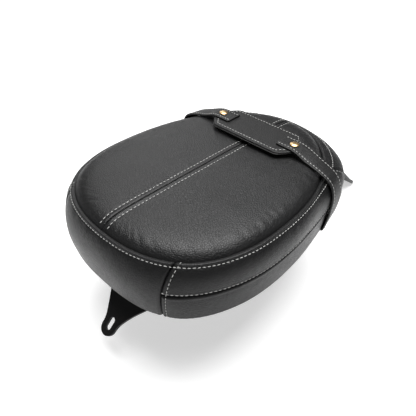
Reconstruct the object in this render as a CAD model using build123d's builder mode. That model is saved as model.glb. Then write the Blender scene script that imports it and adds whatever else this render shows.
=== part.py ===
from build123d import *
import os
from math import cos, radians, sin, sqrt

# Motorcycle passenger pad with a grab strap. Millimetres.
# X is the rider's right, Y points to the front of the motorcycle, Z is up.
# The origin is the middle of the box that holds the whole part, on its lowest level.

os.makedirs("parts", exist_ok=True)

# ---------------------------------------------------------------- driving dimensions
# fender that the pad is carried on
fender_radius = 325.0        # crown line of the fender, measured from the wheel axle
rim_above_fender = 49.0      # the seam round the top panel, above the fender's crown
pad_behind_axle = 70.0       # widest part of the pad, behind the axle

# pad outline, right half only, rear centre to front centre, about the pad's widest part
pad_width_scale = 1.0        # stretches every outline sideways
pad_length_scale = 1.0       # stretches every outline fore and aft
rim_outline = [(0, -144.5), (50, -138.5), (94, -112.5), (116.5, -67.5), (121.2, -22),
               (118.5, 22), (108.5, 63), (87.5, 104), (51, 143.5), (0, 159)]
shoulder_outline = [(0, -150.5), (51, -144.5), (97, -118.5), (122.5, -70.5), (127.8, -23),
                    (124.8, 22), (116.5, 66), (103.5, 113), (61, 156.5), (0, 171)]
waist_outline = [(0, -156), (51.5, -152), (95, -129.5), (121.5, -85), (130.6, -35),
                 (128.2, 17), (120, 68), (106.5, 118), (66, 160), (0, 177)]
hem_outline = [(0, -152.5), (50, -148.5), (92, -130), (117.5, -90), (127, -42),
               (125.5, 10), (117, 62), (101, 113), (62, 153.5), (0, 172)]
shoulder_depth = 8.0         # levels below the rim
waist_depth = 33.0
hem_depth = 65.0
crown_height = 9.6           # top panel above the rim
crown_round = 8.4

# cover and filling
leather = 2.0
rim_step = 1.2               # top panel stands this much inside the skirt's edge
cover_gap = 0.3              # between the cover and what it wraps
hem_width = 13.0             # leather turned under the pan
padding = 5.0                # sewn foam under the top panel
rear_seam_top = 84.0         # half distance between the rear corner seams, at the rim
rear_seam_bottom = 78.0      # and at the hem
front_seam_x = 90.0          # front corner seam at the rim
front_seam_y = 92.0
front_seam_lean = 0.37       # sideways travel of that seam for each mm forward

# base pan
pan_wall = 4.0
pan_rim_height = 18.0
saddle_flat = 35.0           # half width of the flat floor that the brackets lie on
saddle_side = 72.0           # half width of the saddle where it ends
saddle_drop = 30.0           # fall of the saddle from the flat to that edge
pedestal_rear = 180.0        # how far the pedestal reaches behind the axle
pedestal_middle = 146.0
pedestal_half = 32.0

# brackets
bracket_plate = 3.5
bracket_clear = 0.3          # bracket to saddle
tab_angle = 42.4             # slope of the rear tab
tab_slot_from_bend = 6.0
slot_length = 16.0
slot_width = 7.5
tab_end_radius = 10.5
rear_bracket_half = 34.0
rear_bracket_start = 8.0     # degrees behind the crest
tongue_angle = 44.0          # slope of the front tongue
tongue_half = 28.0
tongue_length = 46.0
tongue_lip = 14.0
lip_angle = 25.0
tongue_start = 2.0           # degrees in front of the crest
tongue_hole = 8.5
tongue_hole_from_end = 20.0
screw_d = 6.0                # bracket screws, countersunk
screw_head_d = 11.5
screw_head_height = 2.7
screw_length = 13.0
screw_fit = 0.15             # screw to bracket, all round
screw_x = 20.0
rear_screws = [-30.0, -14.0]  # degrees from the crest, forwards positive
front_screws = [5.0, 14.0]
insert_d = 8.4
insert_length = 9.0
boss_d = 14.0
boss_height = 13.0
thread_fit = 0.1

# grab strap
strap_width = 24.0
strap_centre_y = 87.0        # in front of the pad's widest part
strap_leather = 2.4
plate_leather = 1.4
strap_height = 20.2          # top of the arms above the rim
strap_bends = [12.0, 12.0, 15.0, 12.0, 15.0, 15.0, 3.5]   # arm to tail
layer_gap = 0.15
plate_half = 61.0
plate_half_width = 26.0
arm_end_x = 37.5             # inner end of each arm
rivet_x = 56.0
rivet_cap = 11.0
rivet_dome = 2.2
rivet_shank = 4.0
strap_split = 20.0           # depth below the rim where the loose part of the strap begins
strap_clear = 0.8            # strap to cover
strap_side_room = 2.2        # the skirt's fullness under the strap, beyond the waist outline
strap_side_flare = 1.5       # and how much more of it there is at the strap's front edge
anchor_inset = 20.0          # anchor screw, inside the strap's bend
anchor_screw_d = 5.0
anchor_head_d = 9.5
anchor_head_height = 2.8
washer_d = 13.0
washer_height = 1.2
burr_d = 9.0
burr_height = 1.2

# rubber feet and staples under the pan
bumper_d = 18.0
bumper_stem = 8.0
bumper_height = 10.0
bumper_spots = [(84, -92), (93, 30)]
staple_pitch = 26.0
staple_inset = 7.0
staple_width = 10.0
staple_length = 5.6

# ---------------------------------------------------------------- places that follow
slope_rear = radians(tab_angle)
slope_front = radians(tongue_angle)
slope_lip = radians(lip_angle)
tab_reach = tab_slot_from_bend + (slot_length - slot_width) / 2 + tab_end_radius
outer_radius = fender_radius + bracket_plate
rim_above_axle = fender_radius + rim_above_fender

reach_back = outer_radius * sin(slope_rear) + tab_reach * cos(slope_rear)
reach_front = (fender_radius * sin(slope_front) + tongue_length * cos(slope_front)
               + tongue_lip * cos(slope_lip) + bracket_plate * sin(slope_lip))
tip_above_axle = (fender_radius * cos(slope_front) - tongue_length * sin(slope_front)
                  - tongue_lip * sin(slope_lip))

axle_y = (reach_back - reach_front) / 2
axle_z = -tip_above_axle
pad_y = axle_y - pad_behind_axle
rim_z = axle_z + rim_above_axle
hem_z = rim_z - hem_depth
pan_z = hem_z + leather + cover_gap          # underside of the pan
strap_y = pad_y + strap_centre_y
axle_line = Axis((0, axle_y, axle_z), (1, 0, 0))
big = 400.0


# ---------------------------------------------------------------- helpers
def stretched(outline):
    """An outline in the part's frame, from the one about the pad's widest part."""
    return [(x * pad_width_scale, pad_y + y * pad_length_scale) for x, y in outline]


def moved_in(points, inset):
    """The half outline moved inwards by inset, square to itself."""
    out = []
    for i, (x, y) in enumerate(points):
        x0, y0 = points[i - 1] if i else (-points[1][0], points[1][1])
        x1, y1 = points[i + 1] if i + 1 < len(points) else (-points[-2][0], points[-2][1])
        run = sqrt((x1 - x0) ** 2 + (y1 - y0) ** 2)
        out.append((x - inset * (y1 - y0) / run, y + inset * (x1 - x0) / run))
    out[0] = (0, out[0][1])
    out[-1] = (0, out[-1][1])
    return out


def half_curve(outline, inset=0.0):
    """The right half of a level's outline as one smooth edge."""
    return Spline(*moved_in(stretched(outline), inset), tangents=[(1, 0), (-1, 0)],
                  mode=Mode.PRIVATE)


def level(outline, z, inset=0.0):
    """A closed section of the pad at height z."""
    points = moved_in(stretched(outline), inset)
    with BuildSketch(Plane.XY.offset(z)) as section:
        with BuildLine():
            Spline(*points, tangents=[(1, 0), (-1, 0)])
            Spline(*[(-x, y) for x, y in points], tangents=[(-1, 0), (1, 0)])
        make_face()
    return section.sketch


def half_width(outline, y):
    """Half width of a level at station y."""
    curve = half_curve(outline)
    spots = [curve.position_at(i / 200) for i in range(201)]
    for a, b in zip(spots, spots[1:]):
        if a.Y <= y < b.Y:
            return a.X + (b.X - a.X) * (y - a.Y) / (b.Y - a.Y)
    return 0.0


def skirt_levels(inset, bottom_z):
    """Sections of the skirt from the rim down to bottom_z."""
    return [level(rim_outline, rim_z, inset),
            level(shoulder_outline, rim_z - shoulder_depth, inset),
            level(waist_outline, rim_z - waist_depth, inset),
            level(hem_outline, bottom_z, inset)]


def save(piece, name):
    piece.part.label = name
    export_step(piece.part, f"parts/{name}.step")


# ---------------------------------------------------------------- saddle over the fender
def saddle_ring(extra):
    """A ring about the axle, with the saddle's cross section made larger by extra."""
    top = fender_radius + bracket_plate + bracket_clear + extra
    with BuildPart() as ring:
        with BuildSketch(Plane.XZ.offset(-axle_y)):
            with BuildLine():
                Polyline((-saddle_flat - extra, axle_z + top),
                         (saddle_flat + extra, axle_z + top),
                         (saddle_side + extra, axle_z + top - saddle_drop),
                         (saddle_side + extra, axle_z + fender_radius / 2),
                         (-saddle_side - extra, axle_z + fender_radius / 2),
                         (-saddle_side - extra, axle_z + top - saddle_drop),
                         close=True)
            make_face()
        revolve(axis=axle_line, revolution_arc=360)
    return ring.part


saddle = saddle_ring(0)
saddle_top = saddle_ring(pan_wall)
saddle_foam = saddle_ring(pan_wall + cover_gap)

# ---------------------------------------------------------------- staple and anchor places
anchor_x = half_width(hem_outline, strap_y) - anchor_inset
bumper_places = [(sign * x, pad_y + y) for x, y in bumper_spots for sign in (-1, 1)]

staple_line = half_curve(hem_outline, staple_inset)
staple_spots = []
staple_count = int(staple_line.length / staple_pitch)
for i in range(staple_count):
    share = (i + 0.5) / staple_count
    spot = staple_line.position_at(share)
    heading = staple_line.tangent_at(share)
    turn = Vector(1, 0, 0).get_signed_angle(heading, Vector(0, 0, 1))
    on_strap = abs(spot.Y - strap_y) < strap_width / 2 + staple_width
    on_tunnel = spot.Y > strap_y and spot.X < saddle_side + staple_width
    if not on_strap and not on_tunnel:
        staple_spots.append(Location((spot.X, spot.Y, 0), (0, 0, turn)))
        staple_spots.append(Location((-spot.X, spot.Y, 0), (0, 0, -turn)))


def staple_legs(section, height):
    """Both legs of every staple, square bars standing up from the hem's underside."""
    with BuildPart() as legs:
        with BuildSketch(Plane.XY.offset(hem_z)):
            with Locations(*staple_spots):
                with Locations((-staple_width / 2, 0), (staple_width / 2, 0)):
                    Rectangle(section, section)
        extrude(amount=height)
    return legs.part


# ---------------------------------------------------------------- cover
with BuildPart() as skirt_cover:
    loft(sections=skirt_levels(0, hem_z))
    loft(sections=skirt_levels(leather, hem_z + leather), mode=Mode.SUBTRACT)
    with BuildSketch(Plane.XY.offset(hem_z)):
        add(level(hem_outline, hem_z, hem_width))
    extrude(amount=leather, mode=Mode.SUBTRACT)
    add(saddle, mode=Mode.SUBTRACT)
    add(staple_legs(1.2, leather), mode=Mode.SUBTRACT)

with BuildPart() as rear_zone:
    with BuildSketch(Plane.XZ.offset(-pad_y)):
        with BuildLine():
            Polyline((-rear_seam_top * pad_width_scale, rim_z + crown_height),
                     (rear_seam_top * pad_width_scale, rim_z + crown_height),
                     (rear_seam_bottom * pad_width_scale, hem_z - leather),
                     (-rear_seam_bottom * pad_width_scale, hem_z - leather), close=True)
        make_face()
    extrude(amount=big)

with BuildPart() as front_zone:
    near_y = pad_y + front_seam_y * pad_length_scale
    near_x = front_seam_x * pad_width_scale
    with BuildSketch(Plane.XY.offset(hem_z - leather)):
        with BuildLine():
            Polyline((-near_x, near_y), (near_x, near_y),
                     (near_x + big * front_seam_lean, near_y + big),
                     (-near_x - big * front_seam_lean, near_y + big), close=True)
        make_face()
    extrude(amount=hem_depth + crown_height)

with BuildPart() as rear_skirt:
    add(skirt_cover.part)
    add(rear_zone.part, mode=Mode.INTERSECT)
save(rear_skirt, "rear_skirt")

with BuildPart() as front_skirt:
    add(skirt_cover.part)
    add(front_zone.part, mode=Mode.INTERSECT)
save(front_skirt, "front_skirt")

for side, sign in (("left", -1), ("right", 1)):
    for name, low, high in (("side_band", rim_z - waist_depth, rim_z),
                            ("side_panel", hem_z, rim_z - waist_depth)):
        with BuildPart() as panel:
            add(skirt_cover.part)
            with BuildSketch(Plane.XY.offset(low)):
                with Locations((sign * big / 2, pad_y)):
                    Rectangle(big, 2 * big)
            extrude(amount=high - low, mode=Mode.INTERSECT)
            add(rear_zone.part, mode=Mode.SUBTRACT)
            add(front_zone.part, mode=Mode.SUBTRACT)
        save(panel, f"{name}_{side}")


def crown(inset, height):
    """The raised top of the pad as a closed solid, steep at the rim and flat in the middle."""
    rise = [(0, 0), (1.6, 0.3), (5, 0.54), (11, 0.76), (20, 0.93), (30, 1)]
    with BuildPart() as body:
        loft(sections=[level(rim_outline, rim_z + share * height, inset + step)
                       for step, share in rise])
    return body.part


def half_space(sign, low, high):
    """One side of the pad's middle plane, between two heights."""
    with BuildPart() as block:
        with BuildSketch(Plane.XY.offset(low)):
            with Locations((sign * big / 2, pad_y)):
                Rectangle(big, 2 * big)
        extrude(amount=high - low)
    return block.part


crown_outer = crown(rim_step, crown_height)
crown_under_leather = crown(rim_step + leather, crown_height - leather)

for side, sign in (("left", -1), ("right", 1)):
    with BuildPart() as top_panel:
        add(crown_outer)
        add(crown_under_leather, mode=Mode.SUBTRACT)
        add(half_space(sign, rim_z, rim_z + 2 * crown_height), mode=Mode.INTERSECT)
    save(top_panel, f"top_panel_{side}")


# ---------------------------------------------------------------- bracket screw places
def radial(x, angle, radius):
    """Plane square to the fender at an angle from the crest, its Z pointing off the axle."""
    a = radians(angle)
    return Plane(origin=(x, axle_y + radius * sin(a), axle_z + radius * cos(a)),
                 x_dir=(1, 0, 0), z_dir=(0, sin(a), cos(a)))


def at_screws(angles, start, length, low_d, high_d=None):
    """Round bars along the bracket screws; start is the distance outside the fender."""
    with BuildPart() as bars:
        for angle in angles:
            for x in (-screw_x, screw_x):
                with BuildSketch(radial(x, angle, fender_radius + start)):
                    Circle(low_d / 2)
                with BuildSketch(radial(x, angle, fender_radius + start + length)):
                    Circle((high_d or low_d) / 2)
                loft(ruled=True)
    return bars.part


all_screws = rear_screws + front_screws
saddle_height = bracket_plate + bracket_clear

# ---------------------------------------------------------------- filling
with BuildPart() as top_padding:
    add(crown(rim_step + leather + cover_gap, crown_height - leather - cover_gap))
save(top_padding, "top_padding")

foam_seat = pan_z + pan_rim_height + cover_gap
with BuildPart() as foam_core:
    loft(sections=skirt_levels(leather + cover_gap, hem_z + leather))
    with BuildSketch(Plane.XY.offset(foam_seat)):
        with Locations((0, pad_y)):
            Rectangle(big, big)
    extrude(amount=rim_z - cover_gap - foam_seat, mode=Mode.INTERSECT)
    low_level = pan_z + pan_wall + cover_gap
    with BuildSketch(Plane.XY.offset(low_level)):
        add(level(hem_outline, low_level, leather + 2 * cover_gap + pan_wall))
    extrude(amount=foam_seat - low_level)
    add(saddle_foam, mode=Mode.SUBTRACT)
    add(at_screws(all_screws[1:], saddle_height, boss_height + cover_gap,
                  boss_d + 2 * cover_gap), mode=Mode.SUBTRACT)
save(foam_core, "foam_core")

# ---------------------------------------------------------------- base pan
with BuildPart() as base_pan:
    loft(sections=skirt_levels(leather + cover_gap, hem_z + leather))
    with BuildSketch(Plane.XY.offset(pan_z)):
        with Locations((0, pad_y)):
            Rectangle(big, big)
    extrude(amount=pan_rim_height, mode=Mode.INTERSECT)
    with BuildSketch(Plane.XY.offset(pan_z + pan_wall)):
        add(level(hem_outline, pan_z + pan_wall, leather + cover_gap + pan_wall))
    extrude(amount=pan_rim_height, mode=Mode.SUBTRACT)

with BuildPart() as arch:
    with BuildSketch(Plane.XY.offset(pan_z)):
        add(level(hem_outline, pan_z, leather + cover_gap))
    extrude(amount=foam_seat + pan_rim_height - pan_z)
    add(saddle_top, mode=Mode.INTERSECT)

with BuildPart() as pedestal:
    rib_height = pan_z + pan_wall - (axle_z + fender_radius * cos(radians(45)))
    with BuildSketch(Plane.XY.offset(pan_z + pan_wall - rib_height)):
        with Locations((0, axle_y - pedestal_rear), (0, axle_y - pedestal_middle)):
            Rectangle(2 * pedestal_half, pan_wall)
        with Locations((-screw_x, axle_y - pedestal_middle), (screw_x, axle_y - pedestal_middle)):
            Rectangle(pan_wall, 2 * (pedestal_rear - pedestal_middle))
        with Locations((-pedestal_half, axle_y - pedestal_middle),
                       (pedestal_half, axle_y - pedestal_middle)):
            Rectangle(pan_wall, 2 * (pedestal_rear - pedestal_middle))
    extrude(amount=rib_height)

with BuildPart() as pan:
    add(base_pan.part)
    add(arch.part)
    add(pedestal.part)
    add(at_screws(all_screws, saddle_height - 1, boss_height + 1, boss_d))
    add(saddle, mode=Mode.SUBTRACT)
    add(at_screws(all_screws, saddle_height - 1, insert_length + 4, insert_d + 2 * thread_fit),
        mode=Mode.SUBTRACT)
    with BuildSketch(Plane.XY.offset(pan_z)):
        with Locations((-anchor_x, strap_y), (anchor_x, strap_y)):
            Circle(anchor_screw_d / 2 + thread_fit)
        with Locations(*bumper_places):
            Circle(bumper_stem / 2 + thread_fit)
    extrude(amount=pan_wall, mode=Mode.SUBTRACT)
    add(staple_legs(1.2, staple_length + 0.2), mode=Mode.SUBTRACT)
save(pan, "base_pan")

# ---------------------------------------------------------------- pan fittings
with BuildPart() as bracket_inserts:
    add(at_screws(all_screws, saddle_height + 1, insert_length, insert_d))
    add(at_screws(all_screws, saddle_height, insert_length + 4, screw_d + 2 * thread_fit),
        mode=Mode.SUBTRACT)
save(bracket_inserts, "bracket_inserts")

with BuildPart() as bracket_screws:
    add(at_screws(all_screws, 0.2, screw_head_height, screw_head_d, screw_d))
    add(at_screws(all_screws, 0.2 + screw_head_height, screw_length - screw_head_height, screw_d))
    for angle in all_screws:
        for x in (-screw_x, screw_x):
            with BuildSketch(radial(x, angle, fender_radius)):
                RegularPolygon(2.3, 6)
            extrude(amount=2.0, mode=Mode.SUBTRACT)
save(bracket_screws, "bracket_screws")

with BuildPart() as bumpers:
    with BuildSketch(Plane.XY.offset(pan_z)):
        with Locations(*bumper_places):
            Circle(bumper_stem / 2)
    extrude(amount=pan_wall)
    with BuildSketch(Plane.XY.offset(pan_z)):
        with Locations(*bumper_places):
            Circle(bumper_d / 2)
    extrude(amount=-bumper_height, taper=8)
save(bumpers, "rubber_bumpers")

with BuildPart() as staples:
    add(staple_legs(0.8, staple_length))
    with BuildSketch(Plane.XY.offset(hem_z)):
        with Locations(*staple_spots):
            Rectangle(staple_width + 0.8, 0.8)
    extrude(amount=-0.6)
save(staples, "staples")


# ---------------------------------------------------------------- brackets
def arc_point(radius, angle):
    a = radians(angle)
    return (axle_y + radius * sin(a), axle_z + radius * cos(a))


def ahead(point, length, slope):
    """A point further along a straight run; positive lengths lead to the front."""
    return (point[0] + length * cos(slope), point[1] - abs(length) * sin(slope))


def screw_holes(angles):
    with BuildPart() as holes:
        add(at_screws(angles, -1, bracket_plate + 2, screw_d + 2 * screw_fit))
        add(at_screws(angles, 0, screw_head_height + 0.2, screw_head_d + 0.6,
                      screw_d + 2 * screw_fit))
    return holes.part


with BuildPart() as rear_bracket:
    with BuildSketch(Plane.YZ):
        with BuildLine():
            top_bend = arc_point(outer_radius, -tab_angle)
            low_bend = arc_point(fender_radius, -tab_angle)
            top_end = ahead(top_bend, -tab_reach, slope_rear)
            low_end = ahead(low_bend, -tab_reach, slope_rear)
            middle = -(tab_angle + rear_bracket_start) / 2
            ThreePointArc(arc_point(outer_radius, -rear_bracket_start),
                          arc_point(outer_radius, middle), top_bend)
            Polyline(top_bend, top_end, low_end, low_bend)
            ThreePointArc(low_bend, arc_point(fender_radius, middle),
                          arc_point(fender_radius, -rear_bracket_start))
            Line(arc_point(fender_radius, -rear_bracket_start),
                 arc_point(outer_radius, -rear_bracket_start))
        make_face()
    extrude(amount=rear_bracket_half, both=True)
    slot_centre = ahead(top_bend, -tab_slot_from_bend, slope_rear)
    tab_plane = Plane(origin=(0, slot_centre[0], slot_centre[1]), x_dir=(1, 0, 0),
                      z_dir=(0, -sin(slope_rear), cos(slope_rear)))
    low = -(slot_length - slot_width) / 2
    with BuildSketch(tab_plane):
        with BuildLine():
            ThreePointArc((-tab_end_radius, low), (0, low - tab_end_radius), (tab_end_radius, low))
            Spline((tab_end_radius, low), (14.6, 11), (24.9, 29), (rear_bracket_half, 46),
                   tangents=[(0, 1), (0.3, 1)])
            Polyline((rear_bracket_half, 46), (rear_bracket_half, big),
                     (-rear_bracket_half, big), (-rear_bracket_half, 46))
            Spline((-rear_bracket_half, 46), (-24.9, 29), (-14.6, 11), (-tab_end_radius, low),
                   tangents=[(0.3, -1), (0, -1)])
        make_face()
    extrude(amount=big / 2, both=True, mode=Mode.INTERSECT)
    with BuildSketch(tab_plane):
        SlotOverall(slot_length, slot_width, rotation=90)
    extrude(amount=2 * bracket_plate, both=True, mode=Mode.SUBTRACT)
    add(screw_holes(rear_screws), mode=Mode.SUBTRACT)
save(rear_bracket, "rear_bracket")

with BuildPart() as front_bracket:
    with BuildSketch(Plane.YZ):
        with BuildLine():
            top_bend = arc_point(outer_radius, tongue_angle)
            low_bend = arc_point(fender_radius, tongue_angle)
            top_lip = ahead(top_bend, tongue_length, slope_front)
            low_lip = ahead(low_bend, tongue_length, slope_front)
            top_end = ahead(top_lip, tongue_lip, slope_lip)
            low_end = (top_end[0] - bracket_plate * sin(slope_lip),
                       top_end[1] - bracket_plate * cos(slope_lip))
            low_lip = ahead(low_bend, tongue_length, slope_front)
            middle = (tongue_angle + tongue_start) / 2
            ThreePointArc(arc_point(outer_radius, tongue_start),
                          arc_point(outer_radius, middle), top_bend)
            Polyline(top_bend, top_lip, top_end, low_end, low_lip, low_bend)
            ThreePointArc(low_bend, arc_point(fender_radius, middle),
                          arc_point(fender_radius, tongue_start))
            Line(arc_point(fender_radius, tongue_start), arc_point(outer_radius, tongue_start))
        make_face()
    extrude(amount=tongue_half, both=True)
    tongue_plane = Plane(origin=(0, top_bend[0], top_bend[1]), x_dir=(1, 0, 0),
                         z_dir=(0, sin(slope_front), cos(slope_front)))
    tongue_whole = tongue_length + tongue_lip * cos(slope_front - slope_lip)
    with BuildSketch(tongue_plane):
        with Locations((0, tongue_whole / 2 - big / 2)):
            RectangleRounded(2 * tongue_half, tongue_whole + big, 12)
    extrude(amount=big / 2, both=True, mode=Mode.INTERSECT)
    with BuildSketch(tongue_plane):
        with Locations((0, tongue_length - tongue_hole_from_end)):
            Circle(tongue_hole / 2)
    extrude(amount=2 * bracket_plate, both=True, mode=Mode.SUBTRACT)
    add(screw_holes(front_screws), mode=Mode.SUBTRACT)
save(front_bracket, "front_bracket")

# ---------------------------------------------------------------- grab strap
strap_middle = rim_z + strap_height - strap_leather / 2
plate_top = rim_z + strap_height - strap_leather - layer_gap
backing_top = plate_top - plate_leather - layer_gap
backing_under = backing_top - plate_leather
tail_middle = hem_z - strap_clear - strap_leather / 2


def beside(points, distance):
    """A bent line's points, moved square to its runs by distance."""
    runs = [Vector(b) - Vector(a) for a, b in zip(points, points[1:])]
    sides = [Vector(-run.Y, run.X).normalized() for run in runs]
    out = [Vector(points[0]) + sides[0] * distance]
    for point, before, after in zip(points[1:-1], sides, sides[1:]):
        out.append(Vector(point) + (before + after) * (distance / (1 + before.dot(after))))
    out.append(Vector(points[-1]) + sides[-1] * distance)
    return out


def bend_radii(points, distance):
    """Radius of each bend, for a line moved square to the middle line by distance."""
    radii = []
    for a, b, c, radius in zip(points, points[1:], points[2:], strap_bends):
        turn = (b[0] - a[0]) * (c[1] - b[1]) - (b[1] - a[1]) * (c[0] - b[0])
        radii.append(radius - distance if turn > 0 else radius + distance)
    return radii


def strap_section(y, front):
    """The strap's right half cut across its thickness; front is 0 at its rear edge, 1 at its front."""
    rim = half_width(rim_outline, y)
    shoulder = half_width(shoulder_outline, y)
    waist = half_width(waist_outline, y)
    hem = half_width(hem_outline, y)
    off = strap_clear + strap_leather / 2
    side = waist + off + strap_side_room + strap_side_flare * front
    middle = [(arm_end_x, strap_middle),
              (rivet_x + 9, strap_middle),
              (rivet_x + 21 - 2 * front, strap_middle - 7.1 + 3.6 * front),
              (rim - 12 + 6 * front, strap_middle - 9.6 + 1.6 * front),
              (shoulder + 1.6, strap_middle - 18),
              (side, rim_z - 17),
              (side - 1.8 - front, rim_z - 44),
              (hem + off + 0.8, tail_middle),
              (hem - anchor_inset - strap_width / 2, tail_middle)]
    half = strap_leather / 2
    outer = beside(middle, half)
    inner = beside(middle, -half)
    with BuildSketch(Plane.XZ.offset(-y)) as section:
        with BuildLine():
            FilletPolyline(*outer, radius=bend_radii(middle, half))
            Line(outer[-1], inner[-1])
            FilletPolyline(*inner, radius=bend_radii(middle, -half))
            Line(inner[0], outer[0])
        make_face()
    return section.sketch


with BuildPart() as strap_half:
    loft(sections=[strap_section(strap_y - strap_width / 2, 0),
                   strap_section(strap_y + strap_width / 2, 1)], ruled=True)
    with BuildSketch(Plane.XY.offset(hem_z - 20)):
        with Locations((rivet_x, strap_y)):
            Circle(rivet_shank / 2 + thread_fit)
    extrude(amount=big / 2, mode=Mode.SUBTRACT)
    with BuildSketch(Plane.XY.offset(hem_z - 20)):
        with Locations((anchor_x, strap_y)):
            Circle(anchor_screw_d / 2 + thread_fit)
    extrude(amount=25, mode=Mode.SUBTRACT)

split_z = rim_z - strap_split
with BuildPart() as arm_right:
    add(strap_half.part)
    add(half_space(1, split_z, rim_z + big / 2), mode=Mode.INTERSECT)
save(arm_right, "strap_arm_right")

with BuildPart() as tail_right:
    add(strap_half.part)
    add(half_space(1, hem_z - big / 2, split_z - cover_gap), mode=Mode.INTERSECT)
save(tail_right, "strap_tail_right")

with BuildPart() as arm_left:
    add(arm_right.part)
    mirror(about=Plane.YZ, mode=Mode.REPLACE)
save(arm_left, "strap_arm_left")

with BuildPart() as tail_left:
    add(tail_right.part)
    mirror(about=Plane.YZ, mode=Mode.REPLACE)
save(tail_left, "strap_tail_left")


def strap_layer(top, grow):
    """One leather layer of the strap's middle plate."""
    flat = plate_half - 12
    with BuildPart() as layer:
        with BuildSketch(Plane.XY.offset(top)):
            with BuildLine():
                Polyline((flat, strap_y - plate_half_width - grow),
                         (plate_half, strap_y - 12),
                         (plate_half, strap_y + 12),
                         (flat, strap_y + plate_half_width + grow),
                         (-flat, strap_y + plate_half_width + grow),
                         (-plate_half, strap_y + 12),
                         (-plate_half, strap_y - 12),
                         (-flat, strap_y - plate_half_width - grow), close=True)
            make_face()
            with Locations((-rivet_x, strap_y), (rivet_x, strap_y)):
                Circle(rivet_shank / 2 + thread_fit, mode=Mode.SUBTRACT)
        extrude(amount=-plate_leather)
        fillet(layer.edges().filter_by(Axis.Z).filter_by(GeomType.LINE), 5)
    return layer


save(strap_layer(plate_top, 0), "strap_plate")
save(strap_layer(backing_top, 1.5), "strap_backing")

rivet_spots = [(-rivet_x, strap_y), (rivet_x, strap_y)]
with BuildPart() as rivets:
    with BuildSketch(Plane.XY.offset(rim_z + strap_height)):
        with Locations(*rivet_spots):
            Circle(rivet_cap / 2)
    extrude(amount=rivet_dome)
    fillet(rivets.faces().filter_by(Plane.XY).group_by(Axis.Z)[-1].edges(), rivet_dome * 0.9)
    with BuildSketch(Plane.XY.offset(rim_z + strap_height)):
        with Locations(*rivet_spots):
            Circle(rivet_shank / 2)
    extrude(amount=-(strap_leather + 2 * plate_leather + 3 * layer_gap + burr_height + 0.4))
save(rivets, "strap_rivets")

with BuildPart() as burrs:
    with BuildSketch(Plane.XY.offset(backing_under - layer_gap)):
        with Locations(*rivet_spots):
            Circle(burr_d / 2)
            Circle(rivet_shank / 2 + thread_fit, mode=Mode.SUBTRACT)
    extrude(amount=-burr_height)
save(burrs, "rivet_burrs")

anchor_spots = [(-anchor_x, strap_y), (anchor_x, strap_y)]
washer_top = tail_middle - strap_leather / 2 - layer_gap
with BuildPart() as washers:
    with BuildSketch(Plane.XY.offset(washer_top)):
        with Locations(*anchor_spots):
            Circle(washer_d / 2)
            Circle(anchor_screw_d / 2 + thread_fit, mode=Mode.SUBTRACT)
    extrude(amount=-washer_height)
save(washers, "anchor_washers")

with BuildPart() as anchors:
    head_top = washer_top - washer_height - layer_gap
    with BuildSketch(Plane.XY.offset(head_top)):
        with Locations(*anchor_spots):
            Circle(anchor_head_d / 2)
    extrude(amount=-anchor_head_height)
    fillet(anchors.faces().filter_by(Plane.XY).group_by(Axis.Z)[0].edges(), 1.2)
    with BuildSketch(Plane.XY.offset(head_top)):
        with Locations(*anchor_spots):
            Circle(anchor_screw_d / 2)
    extrude(amount=pan_z + pan_wall - head_top)
    with BuildSketch(Plane.XY.offset(head_top - anchor_head_height)):
        with Locations(*anchor_spots):
            Rectangle(5, 1)
            Rectangle(1, 5)
    extrude(amount=1.6, mode=Mode.SUBTRACT)
save(anchors, "anchor_screws")
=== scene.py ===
import bpy
import bmesh
import math
import numpy as np
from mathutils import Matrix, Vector, noise
from mathutils.bvhtree import BVHTree


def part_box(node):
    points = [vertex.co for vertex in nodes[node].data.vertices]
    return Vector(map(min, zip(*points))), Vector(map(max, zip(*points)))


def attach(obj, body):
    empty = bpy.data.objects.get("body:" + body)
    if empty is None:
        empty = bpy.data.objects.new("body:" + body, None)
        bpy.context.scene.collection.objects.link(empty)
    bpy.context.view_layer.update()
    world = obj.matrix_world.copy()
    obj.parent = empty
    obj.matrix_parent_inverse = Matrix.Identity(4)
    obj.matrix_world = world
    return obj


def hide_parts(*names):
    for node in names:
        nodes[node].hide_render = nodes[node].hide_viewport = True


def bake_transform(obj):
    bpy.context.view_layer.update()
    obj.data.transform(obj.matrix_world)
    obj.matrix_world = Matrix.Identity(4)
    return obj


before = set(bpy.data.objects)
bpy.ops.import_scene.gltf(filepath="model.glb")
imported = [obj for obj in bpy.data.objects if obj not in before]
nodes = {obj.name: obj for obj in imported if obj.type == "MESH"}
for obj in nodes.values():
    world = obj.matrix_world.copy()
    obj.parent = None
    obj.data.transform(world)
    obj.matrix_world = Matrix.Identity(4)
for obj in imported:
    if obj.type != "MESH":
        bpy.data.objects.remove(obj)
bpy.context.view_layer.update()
scene = bpy.context.scene
MM = 0.001

# Places that the pieces share, in millimetres. The pad's own coordinates have X at its middle,
# Y at rear_reach in front of its rear end and Z at the seam round the top panel.
rear_reach = 156.0
rim_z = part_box("side_band_right")[1].z / MM
pad_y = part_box("rear_skirt")[0].y / MM + rear_reach
plate_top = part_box("strap_plate")[1].z / MM - rim_z
backing_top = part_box("strap_backing")[1].z / MM - rim_z

# The grab strap and its middle plate.
strap_y = 87.0
strap_half = 12.0
strap_thick = 2.4
plate_flat, plate_end, plate_wide = 49.0, 61.0, 26.0
plate_thick = 1.4
rivet_x = 56.0
cap_seat = 20.25

# How far each row of stitches runs from its seam or edge.
rim_stitch = 5.5
band_stitch = 2.6
corner_stitch = 5.0
middle_stitch = 6.0
strap_stitch = 3.4
plate_stitch = 4.4

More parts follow.
